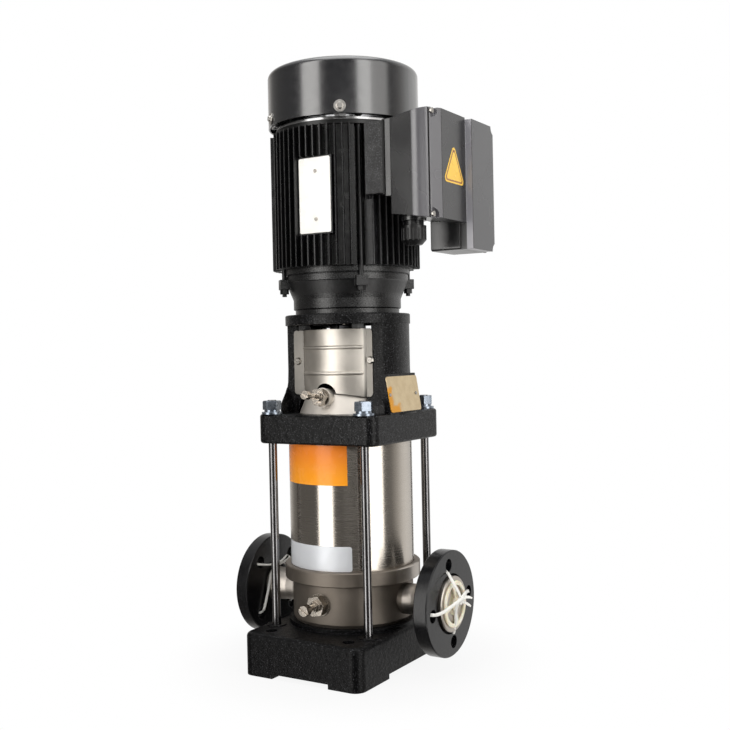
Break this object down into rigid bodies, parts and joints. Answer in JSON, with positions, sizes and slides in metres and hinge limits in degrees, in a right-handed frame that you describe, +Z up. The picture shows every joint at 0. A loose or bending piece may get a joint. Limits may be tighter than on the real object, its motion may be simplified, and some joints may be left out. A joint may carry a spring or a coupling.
{
  "type": "booster pump set",
  "caption": "Vertical multistage booster pump: black finned motor with terminal box, stool, stainless sleeve and casing held by tie rods, cast base, loose pipe flanges with transport caps.",
  "frame": {"origin": "centre of the floor bolt pattern on the underside of the base, on the pump shaft axis", "axes": "+Z up along the shaft, +X along the pipe axis towards the outlet flange and the terminal box side, -Y the front with the drain plug, vent plug and front guard"},
  "size_m": [0.2865, 0.22, 0.664],
  "materials": {
    "cast_black": "black textured paint over cast iron",
    "motor_black": "black gloss paint",
    "cover_black": "smooth black gloss paint",
    "flange_black": "black satin paint",
    "stainless": "satin stainless steel",
    "rod_chrome": "bright plated steel",
    "zinc": "bright zinc plated steel",
    "rubber": "black rubber",
    "ceramic": "ceramic, matt",
    "bearing_steel": "ground steel",
    "core_steel": "electrical steel laminations",
    "copper": "enamelled copper wire",
    "coupling_iron": "machined cast iron",
    "black_plastic": "black nylon",
    "box_plastic": "dark grey plastic",
    "cap_can": "white plastic can",
    "gold_plate": "etched gold coloured plate",
    "white_plate": "white printed aluminium plate",
    "cream_plastic": "cream moulded plastic",
    "tie_white": "white nylon strap"
  },
  "bodies": {
    "pump_set": {"base_plate": "cast_black", "pump_casing": "stainless", "outer_sleeve": "stainless", "sleeve_o_rings": "rubber", "motor_stool": "cast_black", "pump_head_cover": "stainless", "tie_rods": "rod_chrome", "tie_rod_washers": "zinc", "tie_rod_nuts": "zinc", "stage_bowls": "stainless", "shaft_bearing_bush": "ceramic", "seal_seat": "ceramic", "coupling_guard_front": "stainless", "coupling_guard_rear": "stainless", "guard_screws": "zinc", "pump_nameplate": "gold_plate", "plate_rivets": "zinc", "motor_nameplate": "white_plate", "drive_end_shield": "motor_black", "motor_flange_screws": "zinc", "motor_frame": "motor_black", "fan_end_shield": "motor_black", "motor_through_bolts": "zinc", "stator_core": "core_steel", "stator_windings": "copper", "bearing_outer_rings": "bearing_steel", "fan_cover": "cover_black", "fan_cover_screws": "zinc", "terminal_box_base": "box_plastic", "terminal_box_lid": "box_plastic", "terminal_lid_screws": "zinc", "terminal_box_gasket": "rubber", "terminal_block": "black_plastic", "capacitor": "cap_can", "cable_gland_body": "black_plastic", "cable_gland_nut": "black_plastic", "plug_gaskets": "rubber", "drain_plug": "stainless", "vent_plug": "stainless"},
    "rotor": {"motor_shaft": "bearing_steel", "rotor_core": "core_steel", "cooling_fan": "black_plastic", "bearing_inner_rings": "bearing_steel", "coupling_halves": "coupling_iron", "coupling_screws": "zinc", "pump_shaft": "stainless", "impellers": "stainless", "shaft_spacers": "stainless", "seal_rotating_head": "bearing_steel"},
    "ball_sets": {"bearing_ball_sets": "bearing_steel"},
    "drain_ring": {"drain_needle_ring": "rubber"},
    "drain_screw": {"drain_needle": "stainless"},
    "vent_ring": {"vent_needle_ring": "rubber"},
    "vent_screw": {"vent_needle": "stainless"},
    "outlet_flange": {"flange_outlet": "flange_black", "port_cap_outlet": "cream_plastic", "cap_ties_outlet": "tie_white"},
    "inlet_flange": {"flange_inlet": "flange_black", "port_cap_inlet": "cream_plastic", "cap_ties_inlet": "tie_white"}
  },
  "joints": [
    {"name": "rotor_spin", "type": "hinge", "parent": "pump_set", "child": "rotor", "pos_m": [0, 0, 0.4], "axis": [0, 0, 1], "continuous": true},
    {"name": "ball_set_roll", "type": "hinge", "parent": "pump_set", "child": "ball_sets", "pos_m": [0, 0, 0.4], "axis": [0, 0, 1], "continuous": true},
    {"name": "drain_needle_travel", "type": "slide", "parent": "pump_set", "child": "drain_ring", "axis": [0, -1, 0], "range_m": [0, 0.003]},
    {"name": "drain_needle_turn", "type": "hinge", "parent": "drain_ring", "child": "drain_screw", "pos_m": [0, -0.0685, 0.075], "axis": [0, -1, 0], "range_deg": [0, 1100]},
    {"name": "vent_needle_travel", "type": "slide", "parent": "pump_set", "child": "vent_ring", "axis": [0, -0.9903, 0.1392], "range_m": [0, 0.003]},
    {"name": "vent_needle_turn", "type": "hinge", "parent": "vent_ring", "child": "vent_screw", "pos_m": [0, -0.054, 0.2995], "axis": [0, -0.9903, 0.1392], "range_deg": [0, 1100]},
    {"name": "outlet_flange_turn", "type": "hinge", "parent": "pump_set", "child": "outlet_flange", "pos_m": [0.117, 0, 0.075], "axis": [1, 0, 0], "continuous": true},
    {"name": "inlet_flange_turn", "type": "hinge", "parent": "pump_set", "child": "inlet_flange", "pos_m": [-0.117, 0, 0.075], "axis": [1, 0, 0], "continuous": true}
  ],
  "couplings": [
    {"joint": "ball_set_roll", "follows": "rotor_spin", "ratio": 0.3815},
    {"joint": "drain_needle_turn", "follows": "drain_needle_travel", "rad_per_m": 6283.2},
    {"joint": "vent_needle_turn", "follows": "vent_needle_travel", "rad_per_m": 6283.2}
  ]
}
